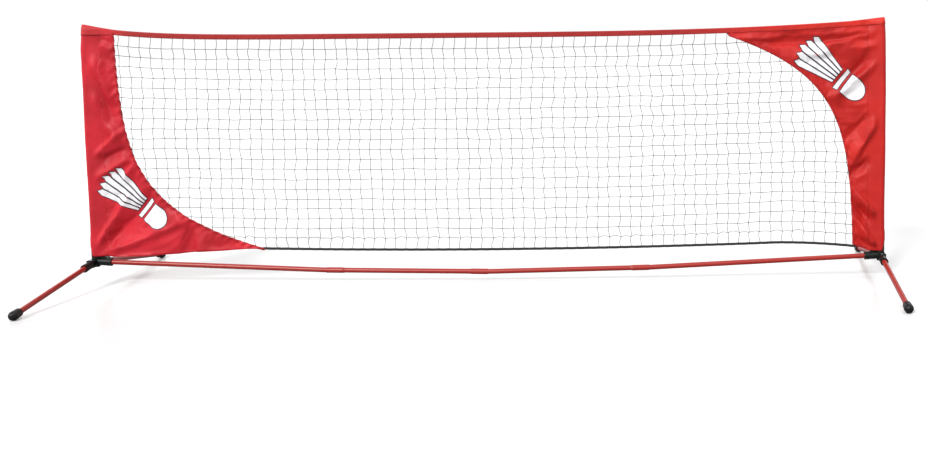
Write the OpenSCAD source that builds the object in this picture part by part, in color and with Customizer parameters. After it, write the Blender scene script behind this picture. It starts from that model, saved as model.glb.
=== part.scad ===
// Portable badminton net: a bowed sectional base beam, two folding feet at
// each end, telescoping poles and a fabric-edged net slung between them.
// Millimetres, +Z up. The origin is on the ground under the middle of the
// net, +X runs along the net and -Y is the front.

/* [Frame] */
// Distance between the two pole axes
span = 3000; // [2600:10:3400]
// Height of the base beam's axis above the ground at a connector
axis_h = 92; // [86:1:104]
// How far the base beam bows down at mid span
beam_bow = 52; // [20:1:60]
// Outside diameter of the beam, leg and lower pole tubes
tube_d = 19; // [18:0.5:20]
// Wall thickness of every tube
wall = 1.2; // [1:0.1:1.4]
// Length of an outer beam section from the pole axis to its slip joint
outer_len = 883; // [800:1:950]

/* [Legs] */
// Distance of a foot's centre in front of or behind the net
foot_reach = 520; // [450:5:600]
// Radius of a foot's round end
foot_r = 16.5; // [15:0.5:18]
// Distance of a leg's hinge pin from the pole axis
hinge_y = 34; // [33:0.5:38]

/* [Poles] */
// Height of the pole tips above the ground, poles lowered
top_h = 990; // [960:5:1030]
// Outside diameter of the sliding upper pole
upper_d = 16; // [15.9:0.1:16]
// Height of the top of the fixed lower pole
lower_top = 860; // [850:1:870]

/* [Net] */
// Sag of the top tape at mid span
top_sag = 38; // [10:1:60]
// Height of the top tape's band
tape_h = 20; // [15:1:30]
// Height of the bottom tape's band
hem_tape_h = 9; // [6:1:15]
// Width of a side panel at its narrow end
panel_narrow = 103; // [80:1:140]
// Extra width that the left panel gains towards its foot
left_flare = 546; // [400:1:700]
// Extra width that the right panel gains towards its top
right_flare = 477; // [400:1:700]
// Distance over which that extra width dies away
panel_fade = 163; // [140:1:220]

/* [Hidden] */
$fn = 64;

tube_r = tube_d / 2;
bore_r = tube_r - wall;
fit = 0.1;              // clearance of a plugged or sliding fit
gap = 0.3;              // clearance between bodies that move past each other

// The left pole axis; the right half mirrors the left one.
pole_x = -span / 2;

// The beam drops most of its bow over the outer section.
outer_drop = 0.79 * beam_bow;
joint_x = pole_x + outer_len;
joint_z = axis_h - outer_drop;
mid_z = axis_h - beam_bow;
outer_tilt = atan2(outer_drop, outer_len);
inner_tilt = atan2(joint_z - mid_z, -joint_x);
outer_run = norm([outer_len, outer_drop]);
inner_run = norm([joint_x, joint_z - mid_z]);

// Slip joints: a plain spigot slides into a swaged socket.
spigot_len = 58;
swage_len = 62;
swage_bore_r = tube_r + fit;
swage_r = swage_bore_r + wall;
swage_cone = 8;
snap_at = 25;
snap_r = 3.4;
snap_dome = 1.5;
leaf_t = 0.6;
leaf_w = 8;
leaf_len = 34;
leaf_back = 8;
leaf_y = bore_r - 1.9;

// Connector
socket_r = 14.6;
socket_top = 54;
socket_foot = 20;
socket_floor = 13;
collar_r = 14.5;
collar_len = 62;
collar_stop = 16;
rim_r = 15.5;
rim_len = 6;
web_t = 7;

// Leg hinges, whose pins stand upright in the connector's ears
hinge_drop = 4;
ear_r = 10;
ear_t = 6.5;
ear_gap = 14.6;
tongue_t = 14;
pin_r = 3;
pin_head_r = 5.5;
pin_head_t = 2;
turn_r = 17;
lug_t = 4;
lug_reach = 8;
hinge_z = axis_h - hinge_drop;
foot_z = foot_r - 0.5;   // the round end is cut flat where it stands
leg_slope = atan2(hinge_z - foot_z, foot_reach - hinge_y);
leg_len = norm([hinge_z - foot_z, foot_reach - hinge_y]);
knuckle_from = 14;
knuckle_to = 50;
leg_seat = 20;
cap_len = 30;
cap_mouth_r = 15;

// Blind rivets, 15 mm in from a collar's rim and 13 mm in from a knuckle's
rivet_r = 1.6;
rivet_head_r = 3.2;
rivet_head_t = 1.2;
collar_rivet_at = collar_len - 15;
leg_rivet_at = knuckle_to - 13;

// Telescoping poles and their twist locks
upper_r = upper_d / 2;
pole_foot = axis_h - socket_floor;
lock_from = 839;
lock_shoulder = 878;
lock_r = 12.5;
neck_r = 10.3;
neck_top = 892;
collet_top = 904;
nut_from = 879;
nut_top = 914;
nut_r = 12.4;
nut_lip_r = upper_r + 1.2;
nut_chamfer = 3;
nut_ribs = 16;
lock_ribs = 12;
rib_inset = 6;
slit = 1.2;              // cut that lets the collet close on the pole
cap_from = top_h - 32;
cap_r = 11;

// Fabric
cloth = 1.4;
netting = 1;
sleeve_in = 13.5;
sleeve_out = 14.3;
pocket_in = 15.5;
pocket_out = 16.4;
pocket_tip = 52;
pocket_top = 154;
sleeve_foot = 112;
hem_foot_l = 113;
hem_foot_r = 110;
edge_steps = 24;

// Sag of the top edge: the left corner is drawn into a sharper point.
function sag_power(x) = x < 0 ? 7 : 3;
function top_edge(x) =
    top_h - top_sag * (1 - pow(min(1, abs(2 * x / span)), sag_power(x)));

// The bottom tape rises gently from mid span, then falls to the panels.
crest_x = 1100;
function bottom_edge(x) = abs(x) < crest_x
    ? 126 + 17 * pow(x / crest_x, 2)
    : 143 - 16 * pow((abs(x) - crest_x) / 297, 2);

// Width of a side panel at a distance from its wide end.
function panel_width(depth, flare) = panel_narrow + flare * exp(-max(0, depth) / panel_fade);
function left_width(depth) = panel_width(depth, left_flare);
function right_width(depth) = panel_width(depth, right_flare);

panel_top = top_h - top_sag - tape_h;
left_corner_x = pole_x + left_width(0);
right_corner_x = -pole_x - panel_narrow;
panel_depth = panel_top - bottom_edge(left_corner_x);
depths = [for (i = [0 : edge_steps]) panel_depth * pow(i / edge_steps, 1.5)];

module right_side() mirror([1, 0, 0]) children();
module rear_side() mirror([0, 1, 0]) children();

// Frames along the left half of the beam: +Z of the children points inward.
module along_outer() translate([pole_x, 0, axis_h]) rotate([0, 90 + outer_tilt, 0]) children();
module along_inner() translate([joint_x, 0, joint_z]) rotate([0, 90 + inner_tilt, 0]) children();
// At mid span the right inner section's spigot enters the left one's socket.
module into_middle() translate([0, 0, mid_z]) rotate([0, -90 + inner_tilt, 0]) children();
// The same line for the mirrored half, running on from the left to the right.
module past_middle() translate([0, 0, mid_z]) rotate([0, 90 - inner_tilt, 0]) children();

module rod(r, from, to) translate([0, 0, from]) cylinder(r = r, h = to - from);

// ---------------------------------------------------------------- beam
module hollow(from, to) difference() {
    rod(tube_r, from, to);
    rod(bore_r, from - 1, to + 1);
}

// Everything on the inner (1) or outer (0) side of the plane halfway between
// the outer section's own axis and that of its spigot, which meet at a mitre.
module past_mitre(inner) translate([joint_x, 0, joint_z])
    rotate([0, 90 + (outer_tilt + inner_tilt) / 2, 0])
        translate([-50, -50, inner ? 0 : -2 * outer_len]) cube([100, 100, 2 * outer_len]);

module outer_beam() {
    color("#c63a30") difference() {
        union() {
            difference() {
                along_outer() hollow(collar_stop + 0.5, outer_run + 2);
                past_mitre(1);
            }
            difference() {
                along_inner() hollow(-2, spigot_len);
                past_mitre(0);
            }
        }
        along_inner() snap_hole();
        along_outer() rivet_hole(collar_rivet_at);
    }
}

// Tube with a swaged socket that opens at z = 0, and one at its far end too
// if far_swaged is true.
module swaged_tube(run, far_swaged) {
    near_end = [[swage_bore_r, 0], [swage_r, 0], [swage_r, swage_len], [tube_r, swage_len + swage_cone]];
    far_end = far_swaged
        ? [[tube_r, run - swage_len - swage_cone], [swage_r, run - swage_len], [swage_r, run],
           [swage_bore_r, run], [swage_bore_r, run - swage_len], [bore_r, run - swage_len]]
        : [[tube_r, run], [bore_r, run]];
    rotate_extrude() polygon(concat(near_end, far_end, [[bore_r, swage_len], [swage_bore_r, swage_len]]));
}

module snap_hole() translate([0, bore_r - 2, snap_at]) rotate([-90, 0, 0]) cylinder(r = snap_r + 2 * fit, h = swage_r);

module inner_beam_left() {
    color("#c63a30") difference() {
        along_inner() swaged_tube(inner_run, true);
        along_inner() snap_hole();
        into_middle() snap_hole();
    }
}

// Its spigot follows the left section's axis, so the two meet at x = 0.
module inner_beam_right() {
    color("#c63a30") difference() {
        right_side() union() {
            difference() {
                along_inner() swaged_tube(inner_run + 2, false);
                translate([0, -50, 0]) cube([100, 100, 100]);
            }
            difference() {
                past_middle() hollow(-2, spigot_len);
                translate([-100, -50, 0]) cube([100, 100, 100]);
            }
        }
        right_side() along_inner() snap_hole();
        into_middle() snap_hole();
    }
}

// Snap button: a domed stud on a flat spring leaf, pressed towards -Y.
module snap_stud() {
    color("#b9bcc0") {
        translate([0, leaf_y, snap_at]) rotate([-90, 0, 0]) {
            cylinder(r = snap_r, h = swage_r + 1 - leaf_y);
            translate([0, 0, swage_r + 1 - leaf_y]) cylinder(r1 = snap_r, r2 = snap_r - snap_dome, h = snap_dome);
        }
        translate([-leaf_w / 2, leaf_y, snap_at - leaf_back]) cube([leaf_w, leaf_t, leaf_len]);
    }
}

// The fixed half of the spring: a leaf along the far wall and its bend.
module snap_spring() {
    bend_at = snap_at - leaf_back + leaf_len + gap;
    bend_r = leaf_y + leaf_t;
    color("#b9bcc0") {
        translate([-leaf_w / 2, -bend_r, snap_at - leaf_back])
            cube([leaf_w, leaf_t, bend_at - snap_at + leaf_back]);
        translate([0, 0, bend_at]) intersection() {
            rotate([0, 90, 0]) difference() {
                cylinder(r = bend_r, h = leaf_w, center = true);
                cylinder(r = bend_r - leaf_t, h = leaf_w + 1, center = true);
            }
            translate([-leaf_w, -bend_r - 1, 0]) cube([2 * leaf_w, 2 * bend_r + 2, bend_r + 1]);
        }
    }
}

module snap_springs() {
    along_inner() snap_spring();
    right_side() along_inner() snap_spring();
    into_middle() snap_spring();
}

// ----------------------------------------------------------- connector
module ear_pair(lift) {
    translate([0, -hinge_y, lift]) cylinder(r = ear_r, h = ear_t);
    translate([-ear_r, -hinge_y, lift]) cube([2 * ear_r, hinge_y, ear_t]);
}

module connector() {
    color("#14211c") difference() {
        union() {
            translate([pole_x, 0, axis_h]) {
                rod(socket_r, -socket_foot, socket_top);
                rod(socket_r + 0.5, socket_top - 5, socket_top - 1);
                // web between the pole socket and the beam collar
                rotate([90, 0, 0]) linear_extrude(web_t, center = true)
                    polygon([[8, -14], [52, -14], [52, 5], [37, 18], [16, 48], [8, 48]]);
                for (side = [0, 1]) mirror([0, side, 0]) {
                    ear_pair(-hinge_drop + ear_gap / 2);
                    ear_pair(-hinge_drop - ear_gap / 2 - ear_t);
                }
            }
            along_outer() rod(collar_r, 0, collar_len);
            along_outer() rod(rim_r, collar_len - rim_len, collar_len);
        }
        translate([pole_x, 0, axis_h]) {
            rod(tube_r + fit, -socket_floor, socket_top + 1);
            for (side = [0, 1]) mirror([0, side, 0])
                translate([0, -hinge_y, -hinge_drop]) {
                    rod(pin_r, -socket_top, socket_top);
                    // the knuckle turns in this clear space
                    translate([0, 0, -ear_gap / 2]) cylinder(r = turn_r, h = ear_gap);
                }
        }
        along_outer() rod(tube_r + fit, collar_stop, collar_len + 1);
        along_outer() rivet_hole(collar_rivet_at);
    }
    color("#14211c") for (side = [0, 1]) mirror([0, side, 0]) stop_lug();
}

// The lug bridges the two ears on the outer side of the hinge. The knuckle
// meets it when the leg is open.
module stop_lug() {
    translate([pole_x - ear_r - gap - lug_t, -hinge_y - lug_reach, hinge_z - ear_gap / 2 - ear_t])
        cube([lug_t, hinge_y + lug_reach - lug_t, ear_gap + 2 * ear_t]);
}

module rivet_hole(at) translate([0, 0, at]) rotate([0, 90, 0]) rod(rivet_r, 0, 20);

// A blind rivet through the underside of a collar into its tube.
module rivet(at, surface_r) {
    color("#9aa0a6") translate([0, 0, at]) rotate([0, 90, 0]) {
        rod(rivet_r, bore_r - 1, surface_r + 0.5);
        rod(rivet_head_r, surface_r, surface_r + rivet_head_t);
    }
}

module collar_rivets() {
    along_outer() rivet(collar_rivet_at, collar_r);
    right_side() along_outer() rivet(collar_rivet_at, collar_r);
}

module hinge_pin() {
    reach = ear_gap / 2 + ear_t;
    color("#8d9297") translate([pole_x, -hinge_y, hinge_z]) {
        rod(pin_r, -reach - 0.5, reach + 0.5);
        rod(pin_head_r, reach, reach + pin_head_t);
        rod(pin_head_r, -reach - pin_head_t, -reach);
    }
}

module hinge_pins() {
    for (side = [0, 1], end = [0, 1])
        mirror([side, 0, 0]) mirror([0, end, 0]) hinge_pin();
}

// ---------------------------------------------------------------- legs
// Frame along the front left leg: +Z of the children points to the foot.
module along_leg() translate([pole_x, -hinge_y, hinge_z]) rotate([90 + leg_slope, 0, 0]) children();

module leg_knuckle() {
    color("#14211c") difference() {
        union() {
            translate([pole_x, -hinge_y, hinge_z]) {
                rod(ear_r, -tongue_t / 2, tongue_t / 2);
                translate([-ear_r, -knuckle_from - 2, -tongue_t / 2]) cube([2 * ear_r, knuckle_from + 2, tongue_t]);
            }
            along_leg() rod(collar_r, knuckle_from, knuckle_to);
            along_leg() rod(rim_r - 0.3, knuckle_to - rim_len, knuckle_to);
        }
        translate([pole_x, -hinge_y, hinge_z]) rod(pin_r + 0.05, -tongue_t, tongue_t);
        along_leg() rod(tube_r + fit, leg_seat, knuckle_to + 1);
        along_leg() rotate(90) rivet_hole(leg_rivet_at);
    }
}

module leg_tube() {
    color("#c63a30") difference() {
        along_leg() rod(tube_r, leg_seat + 0.5, leg_len - 14);
        along_leg() rod(bore_r, leg_seat - 1, leg_len);
        along_leg() rotate(90) rivet_hole(leg_rivet_at);
    }
}

module leg_rivet() along_leg() rotate(90) rivet(leg_rivet_at, collar_r);

module foot_cap() {
    color("#0d0f0e") difference() {
        along_leg() {
            translate([0, 0, leg_len - cap_len]) cylinder(r1 = cap_mouth_r, r2 = foot_r, h = cap_len);
            translate([0, 0, leg_len]) sphere(r = foot_r);
        }
        along_leg() rod(tube_r + fit, leg_len - cap_len - 1, leg_len - 13.5);
        translate([pole_x - 50, -foot_reach - 50, -20]) cube([100, 100, 20]);
    }
}

// --------------------------------------------------------------- poles
module pole_frame() translate([pole_x, 0, 0]) children();

module lower_pole() {
    color("#c63a30") pole_frame() difference() {
        rod(tube_r, pole_foot + 0.2, lower_top);
        rod(bore_r, pole_foot - 1, lower_top + 1);
    }
}

module lock_body() {
    color("#14211c") pole_frame() difference() {
        union() {
            rod(lock_r, lock_from, lock_shoulder);
            rod(neck_r, lock_shoulder - 1, neck_top);
            for (turn = [0 : lock_ribs - 1]) rotate(turn * 360 / lock_ribs)
                translate([lock_r - 0.3, 0, lock_from + rib_inset])
                    cylinder(r = 0.9, h = lock_shoulder - lock_from - 2 * rib_inset);
        }
        rod(tube_r + fit, lock_from - 1, lower_top + 0.2);
        rod(upper_r + fit, lower_top - 1, neck_top + 1);
    }
}

module lock_collet() {
    color("#d8d6cf") pole_frame() difference() {
        translate([0, 0, neck_top + 0.2])
            cylinder(r1 = neck_r - 0.3, r2 = neck_r - 1.1, h = collet_top - neck_top - 0.2);
        rod(upper_r + fit, neck_top - 1, collet_top + 1);
        translate([0, -slit / 2, neck_top - 1]) cube([neck_r + 1, slit, collet_top - neck_top + 2]);
    }
}

module lock_nut() {
    color("#14211c") pole_frame() difference() {
        union() {
            rod(nut_r, nut_from, nut_top - nut_chamfer);
            translate([0, 0, nut_top - nut_chamfer]) cylinder(r1 = nut_r, r2 = nut_r - 2, h = nut_chamfer);
            for (turn = [0 : nut_ribs - 1]) rotate(turn * 360 / nut_ribs)
                translate([nut_r - 0.5, 0, nut_from + nut_chamfer])
                    cylinder(r = 1.1, h = nut_top - nut_from - 3 * nut_chamfer);
        }
        rod(neck_r + gap, nut_from - 1, collet_top + 1.5);
        rod(nut_lip_r, nut_from, nut_top + 1);
    }
}

module upper_pole() {
    color("#b8362d") pole_frame() difference() {
        rod(upper_r, pole_foot + 6, top_h - 6);
        rod(upper_r - wall, pole_foot, top_h);
    }
}

// The bush closes the upper pole's lower end and lands on the socket floor.
module guide_bush() {
    color("#1c1c1c") pole_frame() difference() {
        union() {
            rod(bore_r - 0.08, pole_foot + gap, pole_foot + 6);
            rod(upper_r - wall, pole_foot + 5, pole_foot + 22);
        }
        rod(4, pole_foot - 1, pole_foot + 23);
    }
}

module pole_cap() {
    color("#101312") pole_frame() difference() {
        union() {
            rod(cap_r, cap_from, top_h - 5);
            rotate_extrude() {
                square([cap_r - 5, top_h]);
            }
        }
        rod(50, -1, cap_from);
        rod(upper_r, cap_from - 1, top_h - 6);
    }
}

// -------------------------------------------------------------- fabric
module teardrop(r, tip) {
    lean = acos(r / tip);
    circle(r = r);
    polygon([[r * cos(lean), r * sin(lean)], [tip, 0], [r * cos(lean), -r * sin(lean)]]);
}

// Closed tube of cloth round a pole, with a wider pocket over the socket.
module pole_sleeve() {
    color("#c81f28") pole_frame() difference() {
        union() {
            rod(sleeve_out, sleeve_foot, top_h + 1.6);
            translate([0, 0, sleeve_foot]) linear_extrude(pocket_top - sleeve_foot)
                teardrop(pocket_out, pocket_tip);
        }
        rod(sleeve_in, sleeve_foot - 1, top_h + gap);
        translate([0, 0, sleeve_foot - 1]) linear_extrude(pocket_top - sleeve_foot - 0.5)
            teardrop(pocket_in, pocket_tip - 3.5);
    }
}

module sheet_of(t) rotate([90, 0, 0]) linear_extrude(t, center = true) children();

seam_x = sleeve_out + 0.1;
function panel_top_at(x) = top_edge(x) - tape_h - 0.1;
edge_gap = 0.1;

// Outline of the left panel, widest at the bottom.
module left_outline() {
    hem_z = bottom_edge(left_corner_x);
    polygon(concat(
        [[pole_x + seam_x, hem_foot_l]],
        [for (d = depths) [pole_x + left_width(d), min(hem_z + d, panel_top_at(pole_x + left_width(d)))]],
        [for (u = [panel_narrow : -14 : seam_x]) [pole_x + u, panel_top_at(pole_x + u)]],
        [[pole_x + seam_x, panel_top_at(pole_x + seam_x)]]
    ));
}

// Outline of the right panel, widest at the top.
module right_outline() {
    polygon(concat(
        [[-pole_x - seam_x, hem_foot_r]],
        [[right_corner_x, bottom_edge(right_corner_x)]],
        [for (i = [edge_steps : -1 : 0]) [-pole_x - right_width(depths[i]), panel_top - depths[i]]],
        [for (u = [right_width(0) : -60 : seam_x]) [-pole_x - u, panel_top_at(-pole_x - u)]],
        [[-pole_x - seam_x, panel_top_at(-pole_x - seam_x)]]
    ));
}

module pocket_room() {
    translate([-1, 0]) square([pocket_tip + 2, pocket_top + 1]);
}

module side_panel_left() {
    color("#c81f28") sheet_of(cloth) difference() {
        left_outline();
        translate([pole_x, 0]) pocket_room();
    }
}

module side_panel_right() {
    color("#c81f28") sheet_of(cloth) difference() {
        right_outline();
        translate([-pole_x, 0]) mirror([1, 0]) pocket_room();
    }
}

tape_xs = [for (i = [-40 : 40]) (span / 2 - seam_x) * sin(i * 90 / 40)];
module top_tape() {
    color("#c81f28") sheet_of(cloth + 1) polygon(concat(
        [for (x = tape_xs) [x, top_edge(x)]],
        [for (i = [len(tape_xs) - 1 : -1 : 0]) [tape_xs[i], top_edge(tape_xs[i]) - tape_h]]
    ));
}

hem_from = left_corner_x + 0.5;
hem_to = right_corner_x - 0.5;
hem_xs = [for (i = [0 : 40]) hem_from + (hem_to - hem_from) * i / 40];
module bottom_tape() {
    color("#131313") sheet_of(cloth) polygon(concat(
        [for (x = hem_xs) [x, bottom_edge(x) - hem_tape_h / 2]],
        [for (i = [40 : -1 : 0]) [hem_xs[i], bottom_edge(hem_xs[i]) + hem_tape_h / 2]]
    ));
}

module net_mesh() {
    color("#3c4043") sheet_of(netting) difference() {
        polygon(concat(
            [for (x = tape_xs) [x, panel_top_at(x)]],
            [[-pole_x - seam_x - 1, 200]],
            [for (i = [40 : -1 : 0]) [hem_xs[i], bottom_edge(hem_xs[i]) + hem_tape_h / 2 + edge_gap]],
            [[pole_x + seam_x + 1, 200]]
        ));
        offset(delta = edge_gap) left_outline();
        offset(delta = edge_gap) right_outline();
    }
}

connector();  // connector_left
right_side() connector();  // connector_right
outer_beam();  // base_tube_outer_left
inner_beam_left();  // base_tube_inner_left
inner_beam_right();  // base_tube_inner_right
right_side() outer_beam();  // base_tube_outer_right
snap_springs();
along_inner() snap_stud();  // snap_button_left
into_middle() snap_stud();  // snap_button_middle
right_side() along_inner() snap_stud();  // snap_button_right
collar_rivets();
hinge_pins();
leg_knuckle();  // leg_knuckle_front_left
rear_side() leg_knuckle();  // leg_knuckle_rear_left
right_side() leg_knuckle();  // leg_knuckle_front_right
right_side() rear_side() leg_knuckle();  // leg_knuckle_rear_right
leg_tube();  // leg_tube_front_left
rear_side() leg_tube();  // leg_tube_rear_left
right_side() leg_tube();  // leg_tube_front_right
right_side() rear_side() leg_tube();  // leg_tube_rear_right
leg_rivet();  // leg_rivet_front_left
rear_side() leg_rivet();  // leg_rivet_rear_left
right_side() leg_rivet();  // leg_rivet_front_right
right_side() rear_side() leg_rivet();  // leg_rivet_rear_right
foot_cap();  // foot_cap_front_left
rear_side() foot_cap();  // foot_cap_rear_left
right_side() foot_cap();  // foot_cap_front_right
right_side() rear_side() foot_cap();  // foot_cap_rear_right
lower_pole();  // lower_pole_left
right_side() lower_pole();  // lower_pole_right
lock_body();  // lock_body_left
right_side() lock_body();  // lock_body_right
lock_collet();  // lock_collet_left
right_side() lock_collet();  // lock_collet_right
lock_nut();  // lock_nut_left
right_side() lock_nut();  // lock_nut_right
upper_pole();  // upper_pole_left
right_side() upper_pole();  // upper_pole_right
guide_bush();  // guide_bush_left
right_side() guide_bush();  // guide_bush_right
pole_cap();  // pole_cap_left
right_side() pole_cap();  // pole_cap_right
pole_sleeve();  // pole_sleeve_left
right_side() pole_sleeve();  // pole_sleeve_right
side_panel_left();
side_panel_right();
top_tape();
bottom_tape();
net_mesh();
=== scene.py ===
"""Looks of the portable badminton net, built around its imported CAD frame.

Metres, +Z up, -Y is the front. Everything soft is made here: the knotted netting,
the two side panels, the pole sleeves, the tapes, their seams and the printed emblems.
"""

import math
import random

import bpy
from mathutils import Matrix, Vector, noise
from mathutils.bvhtree import BVHTree
from mathutils.geometry import delaunay_2d_cdt


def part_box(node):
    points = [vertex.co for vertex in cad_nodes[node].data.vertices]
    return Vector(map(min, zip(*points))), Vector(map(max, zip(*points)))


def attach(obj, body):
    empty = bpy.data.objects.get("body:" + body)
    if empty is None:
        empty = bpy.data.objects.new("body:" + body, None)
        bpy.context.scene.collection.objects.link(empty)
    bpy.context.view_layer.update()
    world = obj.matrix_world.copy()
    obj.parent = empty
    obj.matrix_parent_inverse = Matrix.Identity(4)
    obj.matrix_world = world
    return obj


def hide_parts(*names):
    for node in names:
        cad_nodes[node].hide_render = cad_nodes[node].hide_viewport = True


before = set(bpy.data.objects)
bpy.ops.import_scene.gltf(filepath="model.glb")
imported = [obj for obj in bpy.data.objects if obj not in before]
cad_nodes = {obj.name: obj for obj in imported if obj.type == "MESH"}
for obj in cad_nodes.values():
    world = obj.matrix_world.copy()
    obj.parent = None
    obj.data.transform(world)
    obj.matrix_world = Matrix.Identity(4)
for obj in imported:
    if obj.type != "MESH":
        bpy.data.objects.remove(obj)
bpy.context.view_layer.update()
draw = random.Random(11)

MM = 0.001
NET_BODY = "net_and_left_pole"

# ------------------------------------------------------------ sizes of the net
POLE_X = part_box("upper_pole_right")[0].x / 2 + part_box("upper_pole_right")[1].x / 2
TIP_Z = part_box("pole_cap_right")[1].z
TOP_SAG = 38 * MM
TAPE_H = 20 * MM
HEM_TAPE_H = 9 * MM
PANEL_NARROW = 103 * MM
LEFT_FLARE = 546 * MM
RIGHT_FLARE = 477 * MM
PANEL_FADE = 163 * MM
CREST_X = 1.1              # the bottom tape is highest this far out
HEM_MIDDLE_Z = 126 * MM
HEM_RISE = 17 * MM         # from the middle to a crest
HEM_DROP = 16 * MM         # from a crest to the corner beyond it
CORNER_RUN = 110 * MM      # length of the top tape's wider left end
SEAM_U = 50 * MM           # distance of a sleeve's seam from the pole axis
SEAM_LIFT = 4 * MM         # the seam stands this far in front of the net
CLOTH = 0.5 * MM

PANEL_TOP = TIP_Z - TOP_SAG - TAPE_H
LEFT_CORNER_X = -POLE_X + PANEL_NARROW + LEFT_FLARE
RIGHT_CORNER_X = POLE_X - PANEL_NARROW
HEM_FOOT = {-1: 113 * MM, 1: 110 * MM}


def top_edge(x):
    """Upper edge of the top tape, which stays level longer on the left and climbs to both poles."""
    power = 7 if x < 0 else 3
    return TIP_Z - TOP_SAG * (1 - min(1, abs(x / POLE_X)) ** power)


def tape_low(x):
    """Lower edge of the top tape, which widens into the left corner."""
    return top_edge(max(x, -POLE_X + CORNER_RUN)) - TAPE_H


def bottom_edge(x):
    """Middle of the bottom tape and the panels' hems: it rises to two crests and drops beyond them."""
    if abs(x) < CREST_X:
        return HEM_MIDDLE_Z + HEM_RISE * (x / CREST_X) ** 2
    return HEM_MIDDLE_Z + HEM_RISE - HEM_DROP * ((abs(x) - CREST_X) / (RIGHT_CORNER_X - CREST_X)) ** 2


def panel_width(depth, flare):
    """Width of a panel at a distance above or below its wide end."""
    return PANEL_NARROW + flare * math.exp(-max(0, depth) / PANEL_FADE)


LEFT_HEM_Z = bottom_edge(LEFT_CORNER_X)
RIGHT_HEM_Z = bottom_edge(RIGHT_CORNER_X)


def left_inner_x(z):
    return -POLE_X + panel_width(z - LEFT_HEM_Z, LEFT_FLARE)


def right_inner_x(z):
    return POLE_X - panel_width(PANEL_TOP - z, RIGHT_FLARE)


INNER_X = {-1: left_inner_x, 1: right_inner_x}


def inner_gap(side, x, z):
    """Distance along X from a panel's inner edge into the panel."""
    return side * (x - INNER_X[side](z))


# ------------------------------------------------------------------ small tools
def smooth(t):
    t = max(0.0, min(1.0, t))
    return t * t * (3 - 2 * t)


def lerp(a, b, t):
    return a + (b - a) * t


def steps(a, b, pitch):
    """Evenly spaced values from a to b, both included, no further apart than pitch."""
    count = max(1, math.ceil(abs(b - a) / pitch))
    return [lerp(a, b, i / count) for i in range(count + 1)]


def mesh_object(name, verts, faces, material, body):
    mesh = bpy.data.meshes.new(name)
    mesh.from_pydata([tuple(v) for v in verts], [], faces)
    mesh.validate()
    mesh.update()
    for polygon in mesh.polygons:
        polygon.use_smooth = True
    mesh.materials.append(material)
    obj = bpy.data.objects.new(name, mesh)
    bpy.context.scene.collection.objects.link(obj)
    if body:
        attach(obj, body)
    return obj


def thicken(obj):
    """Gives a sheet of cloth its thickness, half to each side."""
    solid = obj.modifiers.new("thickness", "SOLIDIFY")
    solid.thickness = CLOTH
    solid.offset = 0


def extent(points):
    """The lowest and the highest corner of a set of 2D points."""
    return tuple(Vector((f(p.x for p in points), f(p.y for p in points))) for f in (min, max))


def add_rings(faces, rings, count, base=0, closed=True, flip=False):
    """Adds the faces between neighbouring rings of count points each, the first point at base."""
    for i in range(rings - 1):
        for k in range(count if closed else count - 1):
            a, b = base + i * count + k, base + i * count + (k + 1) % count
            quad = (a, b, b + count, a + count)
            faces.append(quad[::-1] if flip else quad)


def add_tube(verts, faces, path, radius, sides=6):
    """Adds a closed round tube along path to verts and faces."""
    base = len(verts)
    for i, point in enumerate(path):
        ahead = path[min(i + 1, len(path) - 1)] - path[max(i - 1, 0)]
        ahead.normalize()
        side = ahead.cross(Vector((0, 1, 0)))
        side.normalize()
        up = side.cross(ahead)
        for k in range(sides):
            turn = 2 * math.pi * k / sides
            verts.append(point + radius * (side * math.cos(turn) + up * math.sin(turn)))
    add_rings(faces, len(path), sides, base)
    faces.append(tuple(base + k for k in range(sides)))
    last = base + (len(path) - 1) * sides
    faces.append(tuple(last + k for k in reversed(range(sides))))


def add_bead(verts, faces, centre, radii, along=None):
    """Adds a small rounded bead: three rings of six points between two poles."""
    base = len(verts)
    along = along or Vector((0, 0, 1))
    side = along.cross(Vector((0, 1, 0))).normalized()
    out = side.cross(along)
    verts.append(centre - along * radii[2])
    for level in (-0.5, 0, 0.5):
        ring = math.sqrt(1 - level * level)
        for k in range(6):
            turn = math.pi * k / 3
            verts.append(centre + along * radii[2] * level
                         + side * radii[0] * ring * math.cos(turn) + out * radii[1] * ring * math.sin(turn))
    verts.append(centre + along * radii[2])
    for k in range(6):
        n = (k + 1) % 6
        faces.append((base, base + 1 + n, base + 1 + k))
        for ring in (0, 1):
            a = base + 1 + ring * 6
            faces.append((a + k, a + n, a + 6 + n, a + 6 + k))
        faces.append((base + 13 + k, base + 13 + n, base + 19))


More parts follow.
